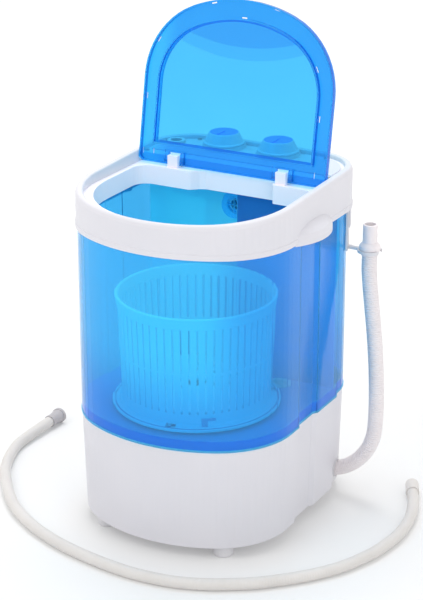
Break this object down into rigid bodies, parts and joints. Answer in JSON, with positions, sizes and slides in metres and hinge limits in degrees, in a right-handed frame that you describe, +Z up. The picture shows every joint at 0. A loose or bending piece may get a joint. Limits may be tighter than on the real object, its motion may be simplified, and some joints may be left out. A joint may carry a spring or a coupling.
{
  "type": "mini washing machine",
  "caption": "Small top-loading washer: clear tub on a white base, lift-out slotted spin basket over a pulsator, hinged clear lid, two timer knobs and a ribbed drain hose.",
  "frame": {"origin": "on the floor under the middle of the machine, without its two hoses", "axes": "+Z up, -Y out of the curved front, +X to the machine's right as seen from the front"},
  "size_m": [0.6716, 0.4548, 0.7407],
  "materials": {
    "white_plastic": "satin",
    "clear_blue": "gloss, clear tinted plastic",
    "lid_blue": "gloss, clear tinted plastic",
    "lid_sheet": "gloss, clear tinted plastic",
    "pale_blue": "satin",
    "grey_plastic": "satin",
    "dark_plastic": "matt",
    "rubber": "matt",
    "steel": "brushed",
    "cast": "cast",
    "iron": "satin paint",
    "bronze": "plain",
    "hose_white": "satin"
  },
  "bodies": {
    "cabinet": {"base_shell": "white_plastic", "base_plate": "white_plastic", "feet": "white_plastic", "wash_tub": "clear_blue", "tub_wall": "clear_blue", "tub_floor": "clear_blue", "top_frame": "white_plastic", "lid_seat": "white_plastic", "rear_deck": "white_plastic", "control_panel": "white_plastic", "panel_screws": "steel", "inlet_port": "white_plastic", "inlet_pipe": "grey_plastic", "overflow_ring": "pale_blue", "wash_timer": "dark_plastic", "spin_timer": "dark_plastic", "shaft_seal": "rubber", "bearing_housing": "iron", "upper_bush": "bronze", "lower_bush": "bronze", "drive_belt": "rubber", "motor": "iron", "motor_bracket": "iron", "motor_screws": "steel", "start_capacitor": "grey_plastic", "capacitor_strap": "steel", "drain_sump": "grey_plastic", "drain_screen": "white_plastic", "drain_pipe": "grey_plastic", "rear_cover": "white_plastic", "rear_cover_screws": "steel", "base_screws": "steel", "cord_gland": "dark_plastic", "drain_hose": "hose_white", "drain_hose_nozzle": "hose_white", "hose_clip": "white_plastic", "inlet_hose": "hose_white", "inlet_adapter": "hose_white", "inlet_cuff": "hose_white"},
    "lid": {"lid_rim": "lid_blue", "lid_panel": "lid_sheet", "hinge_pins": "steel"},
    "pulsator": {"pulsator": "pale_blue", "pulsator_screw": "steel", "drive_shaft": "steel", "large_pulley": "cast", "pulley_nut": "steel"},
    "basket": {"spin_basket": "pale_blue", "basket_floor": "pale_blue"},
    "rotor": {"motor_shaft": "steel", "motor_pulley": "iron"},
    "wash_dial": {"wash_knob": "pale_blue", "wash_spindle": "steel"},
    "spin_dial": {"spin_knob": "pale_blue", "spin_spindle": "steel"}
  },
  "joints": [
    {"name": "lid_hinge", "type": "hinge", "parent": "cabinet", "child": "lid", "pos_m": [0, 0.066, 0.499], "axis": [1, 0, 0], "range_deg": [0, 100]},
    {"name": "pulsator_spin", "type": "hinge", "parent": "cabinet", "child": "pulsator", "pos_m": [0.008, -0.052, 0.19], "axis": [0, 0, 1], "continuous": true},
    {"name": "basket_lift", "type": "slide", "parent": "pulsator", "child": "basket", "axis": [0, 0, 1], "range_m": [0, 0.134]},
    {"name": "motor_spin", "type": "hinge", "parent": "cabinet", "child": "rotor", "pos_m": [0.008, 0.078, 0.06], "axis": [0, 0, 1], "continuous": true},
    {"name": "wash_timer_turn", "type": "hinge", "parent": "cabinet", "child": "wash_dial", "pos_m": [-0.057, 0.15, 0.51], "axis": [0, 0, 1], "range_deg": [-330, 0]},
    {"name": "spin_timer_turn", "type": "hinge", "parent": "cabinet", "child": "spin_dial", "pos_m": [0.033, 0.15, 0.51], "axis": [0, 0, 1], "range_deg": [-300, 0]}
  ],
  "couplings": [
    {"joint": "motor_spin", "follows": "pulsator_spin", "ratio": 4}
  ]
}
